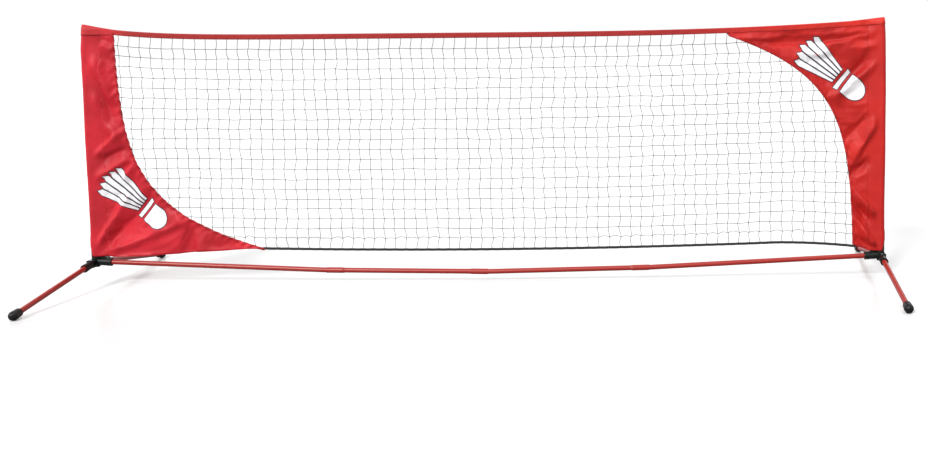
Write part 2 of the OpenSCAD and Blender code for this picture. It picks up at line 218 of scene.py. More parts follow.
# -------------------------------------------------------------------- materials
class Nodes:
    """A short way to write a node material around one Principled shader."""

    def __init__(self, name, **sockets):
        self.material = bpy.data.materials.new(name)
        self.material.use_nodes = True
        self.tree = self.material.node_tree
        self.shader = self.tree.nodes["Principled BSDF"]
        for key, value in sockets.items():
            self.shader.inputs[key.replace("_", " ")].default_value = value
        self.place = self.add("ShaderNodeTexCoord").outputs["Object"]

    def add(self, kind, links=None, **values):
        node = self.tree.nodes.new(kind)
        for key, value in values.items():
            if key in node.inputs.keys():
                node.inputs[key].default_value = value
            else:
                setattr(node, key, value)
        for key, source in (links or {}).items():
            self.tree.links.new(source, node.inputs[key])
        return node

    def noise(self, scale, detail=3.0, roughness=0.5, source=None):
        return self.add("ShaderNodeTexNoise", {"Vector": source or self.place},
                        Scale=scale, Detail=detail, Roughness=roughness).outputs["Fac"]

    def wave(self, scale, direction, distortion=0.0):
        return self.add("ShaderNodeTexWave", {"Vector": self.place}, Scale=scale,
                        Distortion=distortion, bands_direction=direction).outputs["Fac"]

    def math(self, operation, first, second):
        node = self.add("ShaderNodeMath", operation=operation)
        for i, value in enumerate((first, second)):
            if isinstance(value, (int, float)):
                node.inputs[i].default_value = value
            else:
                self.tree.links.new(value, node.inputs[i])
        return node.outputs[0]

    def ramp(self, source, low, high, from_=0.3, to=0.7):
        node = self.add("ShaderNodeMapRange", {"Value": source})
        for key, value in (("From Min", from_), ("From Max", to), ("To Min", low), ("To Max", high)):
            node.inputs[key].default_value = value
        return node.outputs["Result"]

    def mix(self, factor, first, second):
        node = self.add("ShaderNodeMix", data_type="RGBA")
        for socket, value in ((node.inputs[0], factor), (node.inputs[6], first), (node.inputs[7], second)):
            if isinstance(value, (int, float, tuple)):
                socket.default_value = value
            else:
                self.tree.links.new(value, socket)
        return node.outputs[2]

    def colour(self, source):
        self.tree.links.new(source, self.shader.inputs["Base Color"])

    def roughness(self, source):
        self.tree.links.new(source, self.shader.inputs["Roughness"])

    def bump(self, height, strength, distance, under=None):
        links = {"Height": height}
        if under:
            links["Normal"] = under
        node = self.add("ShaderNodeBump", links, Strength=strength, Distance=distance)
        self.tree.links.new(node.outputs["Normal"], self.shader.inputs["Normal"])
        return node.outputs["Normal"]


def rgb(red, green, blue):
    """A colour given as 0-255 screen values, as Blender's linear RGBA."""
    return tuple(((c / 255 + 0.055) / 1.055) ** 2.4 if c > 10 else c / 255 / 12.92
                 for c in (red, green, blue)) + (1.0,)


WEAVE_SCALE = 420          # wave scale of a 0.75 mm thread pitch


def fabric(name, left, right, shade, roughness=0.52, painted_mid_shade=None):
    """Woven polyester. Its red turns from left to right, a painted tint of light that differs from side to
    side, and the mid span can be painted darker as painted shade.
    """
    n = Nodes(name, Sheen_Weight=0.12, Sheen_Roughness=0.35, Specular_IOR_Level=0.3)
    n.shader.inputs["Sheen Tint"].default_value = rgb(255, 150, 150)
    across = n.add("ShaderNodeSeparateXYZ", {"Vector": n.place}).outputs["X"]
    # Painted light: the red shifts from the left colour to the right colour across the span, in place of
    # differently coloured light on each side.
    dye_and_light_tint = n.mix(n.ramp(across, 0, 1, -1.3, 1.3), left, right)
    if painted_mid_shade:
        # Painted shade: the mid span is darkened, and only the two ends keep the plain colour.
        ends = n.math("MAXIMUM", n.ramp(across, 0, 1, 0.75, 1.1), n.ramp(across, 1, 0, -1.42, -1.34))
        dye_and_light_tint = n.mix(ends, painted_mid_shade, dye_and_light_tint)
    blotch = n.ramp(n.noise(7, 4), 0, 0.55)
    warp = n.wave(WEAVE_SCALE, "X")
    weft = n.wave(WEAVE_SCALE, "Z")
    weave = n.math("MULTIPLY", warp, weft)
    mottled_dye_and_light_tint = n.mix(blotch, dye_and_light_tint, shade)
    n.colour(n.mix(n.ramp(weave, 0, 0.18, 0, 1), mottled_dye_and_light_tint, shade))
    n.roughness(n.ramp(n.noise(22, 3), roughness - 0.05, roughness + 0.08))
    crumple = n.bump(n.noise(30, 5, 0.6), 0.22, 4 * MM)
    n.bump(weave, 0.3, 0.12 * MM, crumple)
    return n.material


def webbing():
    n = Nodes("black_webbing", Roughness=0.7, Sheen_Weight=0.1)
    threads = n.math("MULTIPLY", n.wave(300, "X"), n.wave(300, "Z"))
    n.colour(n.mix(threads, rgb(14, 14, 15), rgb(34, 34, 36)))
    n.bump(threads, 0.5, 0.25 * MM)
    return n.material


def cord_material():
    n = Nodes("twisted_cord", Roughness=0.75)
    strands = n.wave(190, "DIAGONAL", 1.5)
    n.colour(n.mix(n.ramp(n.noise(35, 3), 0, 1), rgb(30, 34, 34), rgb(66, 72, 72)))
    n.bump(strands, 0.5, 0.2 * MM)
    return n.material


def print_ink(name, ink, worn):
    n = Nodes(name, Roughness=0.5, Specular_IOR_Level=0.4)
    n.colour(n.mix(n.ramp(n.noise(40, 5, 0.65), 0, 0.5, 0.45, 0.75), ink, worn))
    weave = n.math("MULTIPLY", n.wave(WEAVE_SCALE, "X"), n.wave(WEAVE_SCALE, "Z"))
    n.bump(weave, 0.2, 0.1 * MM)
    return n.material


def thread_material():
    n = Nodes("sewing_thread", Roughness=0.5, Sheen_Weight=0.3)
    n.colour(n.mix(n.noise(200, 2), rgb(150, 22, 24), rgb(196, 46, 44)))
    return n.material


def painted_tube(name, paint, scuffed):
    n = Nodes(name, Coat_Weight=0.15, Coat_Roughness=0.18, Specular_IOR_Level=0.35)
    scuffs = n.ramp(n.noise(55, 6, 0.7), 0, 0.6, 0.6, 0.78)
    n.colour(n.mix(scuffs, paint, scuffed))
    n.roughness(n.ramp(n.noise(120, 3), 0.3, 0.42))
    n.bump(n.noise(260, 2), 0.12, 0.3 * MM)
    return n.material


def moulded_plastic(name, dark, light, roughness=0.42, grain=900):
    n = Nodes(name, Specular_IOR_Level=0.24)
    n.colour(n.mix(n.ramp(n.noise(60, 4, 0.6), 0, 1, 0.4, 0.7), dark, light))
    n.roughness(n.ramp(n.noise(150, 3), roughness - 0.06, roughness + 0.1))
    n.bump(n.noise(grain, 2, 0.6), 0.25, 0.15 * MM)
    return n.material


def plated_steel():
    n = Nodes("plated_steel", Metallic=1.0)
    n.colour(n.mix(n.noise(90, 4), rgb(150, 152, 156), rgb(196, 198, 202)))
    n.roughness(n.ramp(n.noise(300, 3), 0.22, 0.4))
    n.bump(n.wave(900, "Z", 1.0), 0.08, 0.05 * MM)
    return n.material


def studio_floor():
    n = Nodes("studio_floor", Specular_IOR_Level=0.3)
    paper = n.mix(n.noise(1.5, 2), (0.96, 0.96, 0.96, 1), (0.98, 0.98, 0.98, 1))
    rays = n.add("ShaderNodeLightPath").outputs
    bounced = n.math("MAXIMUM", rays["Is Diffuse Ray"], rays["Is Glossy Ray"])
    n.colour(n.mix(bounced, paper, (0.3, 0.3, 0.3, 1)))
    n.roughness(n.ramp(n.noise(4, 2), 0.16, 0.22))
    return n.material


# Each red fabric goes from its left colour to its right colour across the span: a painted tint of the light,
# not a change of dye.
CRIMSON = rgb(212, 34, 50)
ORANGE_RED = rgb(202, 34, 26)
DEEP_RED = rgb(140, 12, 18)
RED_FABRIC = fabric("red_fabric", CRIMSON, ORANGE_RED, DEEP_RED)
RED_BINDING = fabric("red_binding", rgb(186, 28, 40), rgb(192, 32, 26), DEEP_RED)
# The top tape's mid span is painted darker as painted shade.
RED_TAPE = fabric("red_tape", rgb(214, 48, 56), rgb(220, 44, 30), rgb(150, 24, 24), painted_mid_shade=rgb(166, 40, 38))
WEBBING = webbing()
CORD = cord_material()
INK_WHITE = print_ink("white_ink", rgb(244, 244, 246), rgb(226, 224, 228))
INK_DARK = print_ink("dark_ink", rgb(44, 34, 52), rgb(70, 44, 56))
THREAD = thread_material()
TUBE_PAINT = painted_tube("red_paint", rgb(158, 36, 26), rgb(124, 30, 24))
POLE_PAINT = painted_tube("pole_paint", rgb(158, 34, 27), rgb(124, 30, 25))
PLASTIC = moulded_plastic("green_black_plastic", rgb(10, 15, 13), rgb(22, 30, 26))
CAP_RUBBER = moulded_plastic("black_rubber", rgb(9, 10, 9), rgb(20, 21, 20), 0.36, 700)
COLLET = moulded_plastic("white_nylon", rgb(214, 211, 202), rgb(230, 228, 220), 0.4)
STEEL = plated_steel()


# ----------------------------------------------------------------------- camera
def camera():
    """Stands right of the middle at net height and looks a little to the left."""
    place = Vector((0.746, -4.077, 0.930))
    yaw, pitch, roll = math.radians(-0.22), math.radians(4.02), math.radians(0.53)
    ahead = Vector((math.sin(yaw) * math.cos(pitch), math.cos(yaw) * math.cos(pitch), -math.sin(pitch)))
    level = Vector((math.cos(yaw), -math.sin(yaw), 0))
    up = level.cross(ahead)
    right = level * math.cos(roll) - up * math.sin(roll)
    up = level * math.sin(roll) + up * math.cos(roll)
    data = bpy.data.cameras.new("camera")
    data.lens = 41.9
    data.shift_x = -0.23
    data.shift_y = -0.13
    data.clip_end = 200
    obj = bpy.data.objects.new("camera", data)
    turn = Matrix((right, up, -ahead)).transposed().to_4x4()
    obj.matrix_world = Matrix.Translation(place) @ turn
    bpy.context.scene.collection.objects.link(obj)
    bpy.context.scene.camera = obj


# ------------------------------------------------------------- floor and lights
# Suns as (name, angles in degrees, strength, width in degrees).
SUNS = (
    ("key", (56, 0, -24), 2.4, 14),
    ("side", (62, 0, -75), 0.8, 30),
    ("top", (14, 10, 30), 0.9, 40),
)
FLOOR_REACH = 60
FLOOR_SIDES = 48


def studio():
    mesh = bpy.data.meshes.new("floor")
    turns = [2 * math.pi * k / FLOOR_SIDES for k in range(FLOOR_SIDES)]
    rim = [(FLOOR_REACH * math.cos(a), FLOOR_REACH * math.sin(a), 0) for a in turns]
    mesh.from_pydata(rim, [], [tuple(range(FLOOR_SIDES))])
    mesh.materials.append(studio_floor())
    floor = bpy.data.objects.new("floor", mesh)
    bpy.context.scene.collection.objects.link(floor)

    world = bpy.data.worlds.new("studio")
    bpy.context.scene.world = world
    world.use_nodes = True
    tree = world.node_tree
    soft = tree.nodes["Background"]
    soft.inputs["Color"].default_value = (1, 1, 1, 1)
    soft.inputs["Strength"].default_value = 0.5
    white = tree.nodes.new("ShaderNodeBackground")
    white.inputs["Color"].default_value = (1, 1, 1, 1)
    white.inputs["Strength"].default_value = 1.02
    rays = tree.nodes.new("ShaderNodeLightPath")
    seen = tree.nodes.new("ShaderNodeMath")
    seen.operation = "MAXIMUM"
    tree.links.new(rays.outputs["Is Camera Ray"], seen.inputs[0])
    tree.links.new(rays.outputs["Is Glossy Ray"], seen.inputs[1])
    mix = tree.nodes.new("ShaderNodeMixShader")
    tree.links.new(seen.outputs[0], mix.inputs[0])
    tree.links.new(soft.outputs[0], mix.inputs[1])
    tree.links.new(white.outputs[0], mix.inputs[2])
    tree.links.new(mix.outputs[0], tree.nodes["World Output"].inputs["Surface"])

    for name, angles, strength, width in SUNS:
        data = bpy.data.lights.new(name, "SUN")
        data.energy = strength
        data.angle = math.radians(width)
        lamp = bpy.data.objects.new(name, data)
        lamp.rotation_euler = [math.radians(a) for a in angles]
        bpy.context.scene.collection.objects.link(lamp)
    bpy.context.scene.view_settings.view_transform = "Standard"


# ---------------------------------------------------------------------- netting
COLUMN_PITCH = 41 * MM
ROW_COUNT = 21
CORD_R = 0.95 * MM
TUCK = 5 * MM              # how far a cord runs on under the edge that holds it


def drift(i, j, seed):
    """Slow wander of the knots, from -1 to 1."""
    return noise.noise(Vector((i * 0.21, j * 0.17, seed)))


def net_point(row, column):
    """A point of the netting at a row and column, which need not be whole numbers."""
    x = -POLE_X + column * COLUMN_PITCH
    z_top, z_low = tape_low(x), bottom_edge(x) + HEM_TAPE_H / 2
    loose = smooth((x + 0.4) / 1.2) * smooth((z_top - 0.3) / 0.4)
    body = smooth(row / 1.5) * smooth((ROW_COUNT - row) / 0.8)
    zigzag = math.cos(math.pi * row) * (1.6 + 2.6 * loose * (1 - row / ROW_COUNT))
    wander = 9 * drift(row, column, 1.5) + 3.5 * noise.noise(Vector((row * 0.9, column * 0.8, 7.5)))
    last = smooth((row - ROW_COUNT + 1.6) / 0.6)
    jog = 4.5 * noise.noise(Vector((column * 1.7, row * 1.3, 21.5))) * last
    x += (zigzag + wander + jog) * MM * body
    z = lerp(z_top, z_low, row / ROW_COUNT)
    sag = 3.2 * noise.noise(Vector((row * 0.7, column * 0.55, 12.5))) + 2.5 * drift(row, column, 4.5)
    z += sag * MM * body
    y = 5 * MM * noise.noise(Vector((x * 2.2, z * 2.6, 3.5))) * body
    return Vector((x, y, z))


def on_netting(point, tuck):
    """Whether a point is between the panels, give or take tuck."""
    return left_inner_x(point.z) - tuck < point.x < right_inner_x(point.z) + tuck


def trimmed(path):
    """The stretch of a cord between the panels, ended exactly at their edges."""
    runs, run = [], []
    for a, b in zip(path, path[1:]):
        inside_a, inside_b = on_netting(a, TUCK), on_netting(b, TUCK)
        if inside_a:
            run.append(a)
        if inside_a != inside_b:
            low, high = (a, b) if inside_a else (b, a)
            for _ in range(12):
                middle = (low + high) / 2
                low, high = (middle, high) if on_netting(middle, TUCK) else (low, middle)
            run.append(low)
            if inside_a:
                runs.append(run)
                run = []
    if on_netting(path[-1], TUCK):
        run.append(path[-1])
    runs.append(run)
    return [r for r in runs if len(r) > 1 and (r[-1] - r[0]).length > 3 * MM]


def netting():
    columns = round(2 * POLE_X / COLUMN_PITCH)
    verts, faces = [], []
    parts = 4
    for row in range(1, ROW_COUNT):
        path = []
        for step in range(columns * parts + 1):
            column = step / parts
            point = net_point(row, column)
            between = math.sin(math.pi * (column % 1))
            arch = 5.0 if row == ROW_COUNT - 1 else -0.8
            point.z += arch * MM * between * (0.75 + noise.noise(Vector((round(column - 0.5), row, 31.5))))
            path.append(point)
        for run in trimmed(path):
            add_tube(verts, faces, run, CORD_R)
    for column in range(1, columns):
        path = []
        for step in range(ROW_COUNT * parts + 1):
            row = step / parts
            point = net_point(row, column)
            bulge = noise.noise(Vector((math.floor(row) * 1.3, column * 0.9, 41.5)))
            point.x += 4.5 * MM * bulge * math.sin(math.pi * (row % 1))
            path.append(point)
        path[0] = path[0] + Vector((0, 0, TUCK))
        path[-1] = path[-1] - Vector((0, 0, TUCK))
        for run in trimmed(path):
            add_tube(verts, faces, run, CORD_R)
    for row in range(1, ROW_COUNT):
        for column in range(1, columns):
            point = net_point(row, column)
            if on_netting(point, 0):
                lean = Vector((draw.uniform(-0.5, 0.5), 0, 1)).normalized()
                size = draw.uniform(1.6, 2.1) * MM
                add_bead(verts, faces, point, (size, size * 0.9, size * 1.15), lean)
    net = mesh_object("knotted_netting", verts, faces, CORD, NET_BODY)
    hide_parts("net_mesh")
    return net


# ----------------------------------------------------------------- pole sleeves
SLEEVE_R = 13.8 * MM       # clears the ribs of the twist nut inside it
POCKET_R = 16.0 * MM       # clears the rim of the socket at the pole's foot
OUTER_LIFT = 38 * MM       # the sleeve stops above the socket on its outer side
POCKET_Z = 150 * MM        # the pocket narrows above this
FINE_Z = 220 * MM          # the rings stand closer together below this
ARC_STEPS = 26
TAIL_STEPS = 8


def teardrop(r, tip):
    """A closed loop of (u, v): a circle round the pole drawn out to a seam at u = tip."""
    lean = math.acos(r / tip)
    start = Vector((r * math.cos(lean), -r * math.sin(lean)))
    loop = [Vector((tip, 0)).lerp(start, k / TAIL_STEPS) for k in range(TAIL_STEPS)]
    for k in range(ARC_STEPS + 1):
        turn = lerp(lean, 2 * math.pi - lean, k / ARC_STEPS)
        loop.append(Vector((r * math.cos(turn), -r * math.sin(turn))))
    loop += [Vector((v.x, -v.y)) for v in reversed(loop[1:TAIL_STEPS])]
    return loop


def pole_sleeve(side, name):
    """Cloth round the pole, with a wider pocket at its foot. Its front runs on into the panel."""
    foot = HEM_FOOT[side]
    top = tape_low(side * POLE_X) + 9 * MM
    verts, faces = [], []
    heights = steps(foot, FINE_Z, 5 * MM) + steps(FINE_Z, top, 9 * MM)[1:]
    count = len(teardrop(POCKET_R, SEAM_U))
    for level in heights:
        r = lerp(POCKET_R, SLEEVE_R, smooth((level - POCKET_Z) / 0.05))
        seam_rise = relief(side, SEAM_U, level)
        tip = Vector((SEAM_U, -seam_lift(level) - seam_rise))
        swing = Matrix.Rotation(math.atan2(tip.y, tip.x), 2)
        for spot in teardrop(r, tip.length):
            spot = swing @ spot
            outward = smooth((-spot.x / r - 0.1) / 0.8)
            z = level + OUTER_LIFT * outward * (1 - smooth((level - foot) / 0.11))
            away = spot.normalized() if spot.length > 1e-6 else spot
            ruck = noise.noise(Vector((spot.x * 60, spot.y * 60, z * 26 + 9 * side)))
            loose = max(0.0, 0.9 * ruck) * MM * (1 - smooth((spot.x - 0.6 * r) / (0.4 * r)))
            slack = smooth((level - 0.2) / 0.3) * smooth((top - level) / 0.07) * smooth(-spot.x / r + 0.2)
            loose += slack * (3.2 + 2.5 * noise.noise(Vector((level * 6, side * 4.5, 2.5)))) * MM
            spot = spot + away * loose
            if spot.y < 0 and spot.x > 0:
                spot.y -= (relief(side, spot.x, level) - seam_rise * spot.x / SEAM_U) * smooth(spot.x / 0.008)
            verts.append(Vector((side * (POLE_X - spot.x), spot.y, z)))
    add_rings(faces, len(heights), count, flip=side < 0)
    sleeve = mesh_object(f"sleeve_{name}", verts, faces, RED_FABRIC, NET_BODY)
    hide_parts(f"pole_sleeve_{name}")
    sleeve.data.set_sharp_from_angle(angle=math.radians(60))
    thicken(sleeve)
    loop = teardrop(SLEEVE_R, SEAM_U)
    return sleeve


# ------------------------------------------------------------------------ tapes
WRAP_R = 14.7 * MM         # the top tape's ends wrap the sleeves
WRAP_TIP = 58 * MM
TAPE_HALF = 0.7 * MM
PEAK = 5.5 * MM            # the corner stands this far above the pole cap
PEAK_RUN = 0.13            # and slopes down to the plain edge over this length
WRAP_RUN = 0.12            # each end has closer stations over this length


def tape_half(u):
    """Half the top tape's thickness at a distance u from the pole axis."""
    lean = math.acos(WRAP_R / WRAP_TIP)
    if u < WRAP_R * math.cos(lean):
        return math.sqrt(max(0, WRAP_R**2 - u**2))
    t = (u - WRAP_R * math.cos(lean)) / (WRAP_TIP - WRAP_R * math.cos(lean))
    return lerp(WRAP_R * math.sin(lean), TAPE_HALF, min(1, t))


def top_tape():
    """A folded band along the top edge, whose ends wrap both poles to a pointed corner."""
    turns = [-WRAP_R * math.cos(math.radians(a)) for a in range(0, 96, 8)]
    near = turns + steps(turns[-1], WRAP_RUN, 5 * MM)[1:]
    middle = steps(-POLE_X + WRAP_RUN, POLE_X - WRAP_RUN, 10 * MM)[1:-1]
    stations = [-POLE_X + u for u in near] + middle + [POLE_X - u for u in reversed(near)]
    verts, faces = [], []
    sides = ((1, 0.0), (1, 0.2), (1, 0.45), (1, 0.75), (1, 1.0))
    profile = sides + ((0.85, 0.28), (0.45, 0.75), (0, 1.0))
    for x in stations:
        u = POLE_X - abs(x)
        half = tape_half(u)
        low, wrap = tape_low(x), smooth(1 - (u - WRAP_R) / 0.06)
        high = top_edge(x) + PEAK * max(0, 1 - (u + WRAP_R) / PEAK_RUN)
        shoulder = high - lerp(1.6, 12, wrap) * MM
        gather = 0.5 * MM * math.sin(x * 2 * math.pi / 0.046 + 3 * math.sin(x * 5))
        wander = 0.4 * MM * noise.noise(Vector((x * 6, 0, 5.5))) * (1 - wrap)
        ring = []
        for out, up in profile:
            z = lerp(low, shoulder, up) if out == 1 else lerp(shoulder, high, up)
            bulge = gather * math.sin(math.pi * up) if out == 1 else 0
            taper = 1 + wrap * lerp(0.06, -0.16, (z - low) / (high - low))
            axis = math.copysign(POLE_X, x)
            ring.append(Vector((axis + (x - axis) * (taper if u < 0 else 1), -half * out * taper - bulge, z)))
        ring += [Vector((p.x, -p.y, p.z)) for p in reversed(ring[:-1])]
        verts += [p + Vector((0, wander, 0)) for p in ring]
    count = 2 * len(profile) - 1
    for i in range(len(stations) - 1):
        for k in range(count - 1):
            a = i * count + k
            faces.append((a, a + count, a + count + 1, a + 1))
    tape = mesh_object("top_tape_band", verts, faces, RED_TAPE, NET_BODY)
    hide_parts("top_tape")
    weld = tape.modifiers.new("weld", "WELD")
    weld.merge_threshold = 0.02 * MM
    thicken(tape)
    return tape


def bottom_webbing():
    """A narrow woven tape, folded over the lowest cords."""
    half_h, half_t = 4.8 * MM, 0.8 * MM
    shape = ((-1, -0.8), (-1, 0.8), (-0.6, 1), (0.6, 1), (1, 0.8), (1, -0.8), (0.6, -1), (-0.6, -1))
    verts, faces = [], []
    stations = steps(LEFT_CORNER_X - 7 * MM, RIGHT_CORNER_X + 7 * MM, 8 * MM)
    for x in stations:
        lean = (bottom_edge(x + MM) - bottom_edge(x - MM)) / (2 * MM)
        sway = 1.2 * MM * noise.noise(Vector((x * 4, 2.5, 0)))
        dip = 0.25 * MM * math.cos(2 * math.pi * (x + POLE_X) / COLUMN_PITCH)
        middle = Vector((x, sway, bottom_edge(x) + dip))
        for out, up in shape:
            verts.append(middle + Vector((-up * half_h * lean, out * half_t, up * half_h)))
    count = len(shape)
    add_rings(faces, len(stations), count)
    faces.append(tuple(reversed(range(count))))
    faces.append(tuple((len(stations) - 1) * count + k for k in range(count)))
    tape = mesh_object("bottom_webbing", verts, faces, WEBBING, NET_BODY)
    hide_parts("bottom_tape")
    return tape


# ------------------------------------------------------------------ side panels
PANEL_PITCH = 7.5 * MM
ALLOWANCE = 10 * MM        # cloth turned in at the seams, part of the cut's flat size
UNDER_TAPE = 8 * MM        # the panels run this far up under the top tape


def along_curve(function, a, b, pitch):
    """Points of function(t) for t from a to b, spaced by pitch along the curve."""
    fine = [function(lerp(a, b, i / 400)) for i in range(401)]
    total = sum((q - p).length for p, q in zip(fine, fine[1:]))
    count = max(1, round(total / pitch))
    points, gone, want = [fine[0]], 0.0, total / count
    for p, q in zip(fine, fine[1:]):
        length = (q - p).length
        while gone + length >= want * len(points) - 1e-9 and len(points) < count:
            points.append(p.lerp(q, (want * len(points) - gone) / length))
        gone += length
    points.append(fine[-1])
    return points


def panel_outline(side):
    """The cut outline of a panel as four runs of 2D points: hem, inner edge, top and pole."""
    if side < 0:
        corner = Vector((LEFT_CORNER_X, LEFT_HEM_Z))
        top_z = tape_low(-POLE_X + PANEL_NARROW) + UNDER_TAPE
        inner = along_curve(lambda z: Vector((left_inner_x(z), z)), LEFT_HEM_Z, top_z, PANEL_PITCH)
    else:
        corner = Vector((RIGHT_CORNER_X, RIGHT_HEM_Z))
        inner = along_curve(lambda z: Vector((right_inner_x(z), z)), RIGHT_HEM_Z, PANEL_TOP, PANEL_PITCH)
        inner[0] = corner

    def seam(z):
        return Vector((side * (POLE_X - SEAM_U + 4 * MM), z))

    foot = seam(HEM_FOOT[side])
    head = seam(tape_low(side * (POLE_X - SEAM_U)) + UNDER_TAPE)
    start = inner[-1]

    def hem_at(t):
        return foot.lerp(corner, t) + Vector((0, 3 * MM * math.sin(math.pi * t)))

    def top_at(t):
        x = lerp(start.x, head.x, t)
        return Vector((x, max(tape_low(x) + UNDER_TAPE * smooth(9 * t), start.y)))

    hem = along_curve(hem_at, 0, 1, PANEL_PITCH)
    top = along_curve(top_at, 0, 1, PANEL_PITCH)
    pole = along_curve(lambda t: seam(lerp(head.y, foot.y, t)), 0, 1, PANEL_PITCH)
    return hem, inner, top, pole


FOLD_DEPTH = 1.8           # all folds are deepened by this factor
EDGE_EASE = 50 * MM        # over this width the folds flatten towards the inner edge


def fold(x, z, a, b, width, height, skew=0.0):
    """A long fold from a to b: a rounded ridge that dies out at both ends."""
    run = b - a
    t = ((x - a.x) * run.x + (z - a.y) * run.y) / run.length_squared
    off = ((x - a.x) * run.y - (z - a.y) * run.x) / run.length
    spread = width * (1 + skew * (1 if off > 0 else -1))
    profile = FOLD_DEPTH * height * math.exp(-((off / spread) ** 2))
    return profile * smooth(t / 0.3 + 0.5) * smooth((1 - t) / 0.3 + 0.5)


def from_left(u, z):
    return Vector((-POLE_X + u, z))


def from_right(u, z):
    return Vector((POLE_X - u, z))


# Folds as (start, end, half width, height towards the front, skew).
FOLDS = {
    -1: (
        (from_left(0.02, 0.86), from_left(0.10, 0.70), 0.020, 0.008, -0.3),
        (from_left(0.02, 0.80), from_left(0.09, 0.62), 0.016, -0.006, 0.2),
        (from_left(0.03, 0.74), from_left(0.12, 0.52), 0.022, 0.007, 0.3),
        (from_left(0.02, 0.50), from_left(0.13, 0.60), 0.014, 0.007, 0.4),
        (from_left(0.02, 0.47), from_left(0.14, 0.53), 0.012, -0.006, 0.0),
        (from_left(0.02, 0.41), from_left(0.15, 0.49), 0.014, 0.006, -0.3),
        (from_left(0.12, 0.41), from_left(0.19, 0.50), 0.012, 0.007, 0.2),
        (from_left(0.02, 0.16), from_left(0.13, 0.34), 0.016, 0.010, 0.3),
        (from_left(0.03, 0.14), from_left(0.24, 0.36), 0.022, -0.008, 0.0),
        (from_left(0.05, 0.13), from_left(0.38, 0.26), 0.024, 0.009, -0.3),
        (from_left(0.10, 0.12), from_left(0.55, 0.16), 0.022, -0.007, 0.0),
        (from_left(0.06, 0.92), from_left(0.10, 0.90), 0.010, 0.004, 0.0),
    ),
    1: (
        (from_right(0.60, 0.918), from_right(0.03, 0.945), 0.011, 0.006, -0.3),
        (from_right(0.42, 0.905), from_right(0.04, 0.915), 0.013, -0.006, 0.0),
        (from_right(0.22, 0.895), from_right(0.03, 0.93), 0.013, 0.006, 0.3),
        (from_right(0.30, 0.86), from_right(0.02, 0.89), 0.016, 0.005, 0.2),
        (from_right(0.02, 0.86), from_right(0.16, 0.74), 0.020, -0.008, 0.2),
        (from_right(0.02, 0.83), from_right(0.20, 0.68), 0.018, 0.007, -0.2),
        (from_right(0.02, 0.60), from_right(0.13, 0.42), 0.017, 0.011, 0.3),
        (from_right(0.05, 0.62), from_right(0.15, 0.52), 0.013, -0.006, 0.0),
        (from_right(0.02, 0.47), from_right(0.13, 0.39), 0.014, -0.010, 0.0),
        (from_right(0.12, 0.36), from_right(0.02, 0.25), 0.013, 0.014, 0.3),
        (from_right(0.12, 0.31), from_right(0.02, 0.20), 0.010, -0.010, 0.0),
        (from_right(0.11, 0.25), from_right(0.02, 0.13), 0.013, 0.014, 0.3),
        (from_right(0.10, 0.16), from_right(0.03, 0.12), 0.012, -0.006, 0.0),
    ),
}


def under_tape(x, z):
    """Falls from 1 to 0 as the cloth goes up under the top tape."""
    return smooth((tape_low(x) + 3 * MM - z) / 0.035)


def seam_lift(z):
    """How far a sleeve's seam stands in front of the net, less at both ends."""
    return SEAM_LIFT * smooth((z - 0.12) / 0.06) * smooth((PANEL_TOP - z) / 0.06)


def held_edge(side, x, z):
    """Flattens the folds towards the inner edge, which the netting pulls straight."""
    return lerp(0.3, 1, smooth(inner_gap(side, x, z) / EDGE_EASE))


def relief(side, u, z):
    """Height of the folds towards the front, at a distance u from the pole axis."""
    x = side * (POLE_X - u)
    seed = Vector((x * 5, z * 5, 3.3 * side))
    swell = 0.006 * noise.noise(seed) + 0.003 * noise.noise(seed * 2.7)
    rise = (swell + sum(fold(x, z, *f) for f in FOLDS[side])) * held_edge(side, x, z)
    rise *= under_tape(x, z)
    return rise * (smooth((u - 0.004) / 0.03) if rise > 0 else smooth((u - 0.03) / 0.04))


def front_of(side, x, z):
    """How far the cloth stands towards the front (-Y) before it settles."""
    u = POLE_X - abs(x)
    base = seam_lift(z) * (u / SEAM_U if u < SEAM_U else math.exp((SEAM_U - u) / 0.02))
    return base + relief(side, u, z)


def settle(obj, pinned, slack, frames=22):
    """Runs a cloth simulation on obj and keeps its result: the slack buckles into folds."""
    group = obj.vertex_groups.new(name="sewn")
    for index, weight in pinned.items():
        group.add([index], weight, "REPLACE")
    cloth = obj.modifiers.new("Cloth", "CLOTH")
    cloth.settings.quality = 6
    cloth.settings.mass = 0.12
    cloth.settings.tension_stiffness = 22
    cloth.settings.compression_stiffness = 22
    cloth.settings.shear_stiffness = 12
    cloth.settings.bending_stiffness = 0.35
    cloth.settings.air_damping = 2
    cloth.settings.vertex_group_mass = "sewn"
    cloth.settings.pin_stiffness = 8
    cloth.settings.shrink_min = -slack
    cloth.settings.effector_weights.gravity = 0.4
    cloth.collision_settings.use_collision = False
    cloth.collision_settings.use_self_collision = False
    cloth.point_cache.frame_start = 1
    cloth.point_cache.frame_end = frames
    scene = bpy.context.scene
    for number in range(1, frames + 1):
        scene.frame_set(number)
    evaluated = obj.evaluated_get(bpy.context.evaluated_depsgraph_get())
    settled = [v.co.copy() for v in evaluated.data.vertices]
    obj.modifiers.remove(cloth)
    obj.vertex_groups.remove(group)
    scene.frame_set(1)
    for vertex, place in zip(obj.data.vertices, settled):
        vertex.co = place
    obj.data.update()


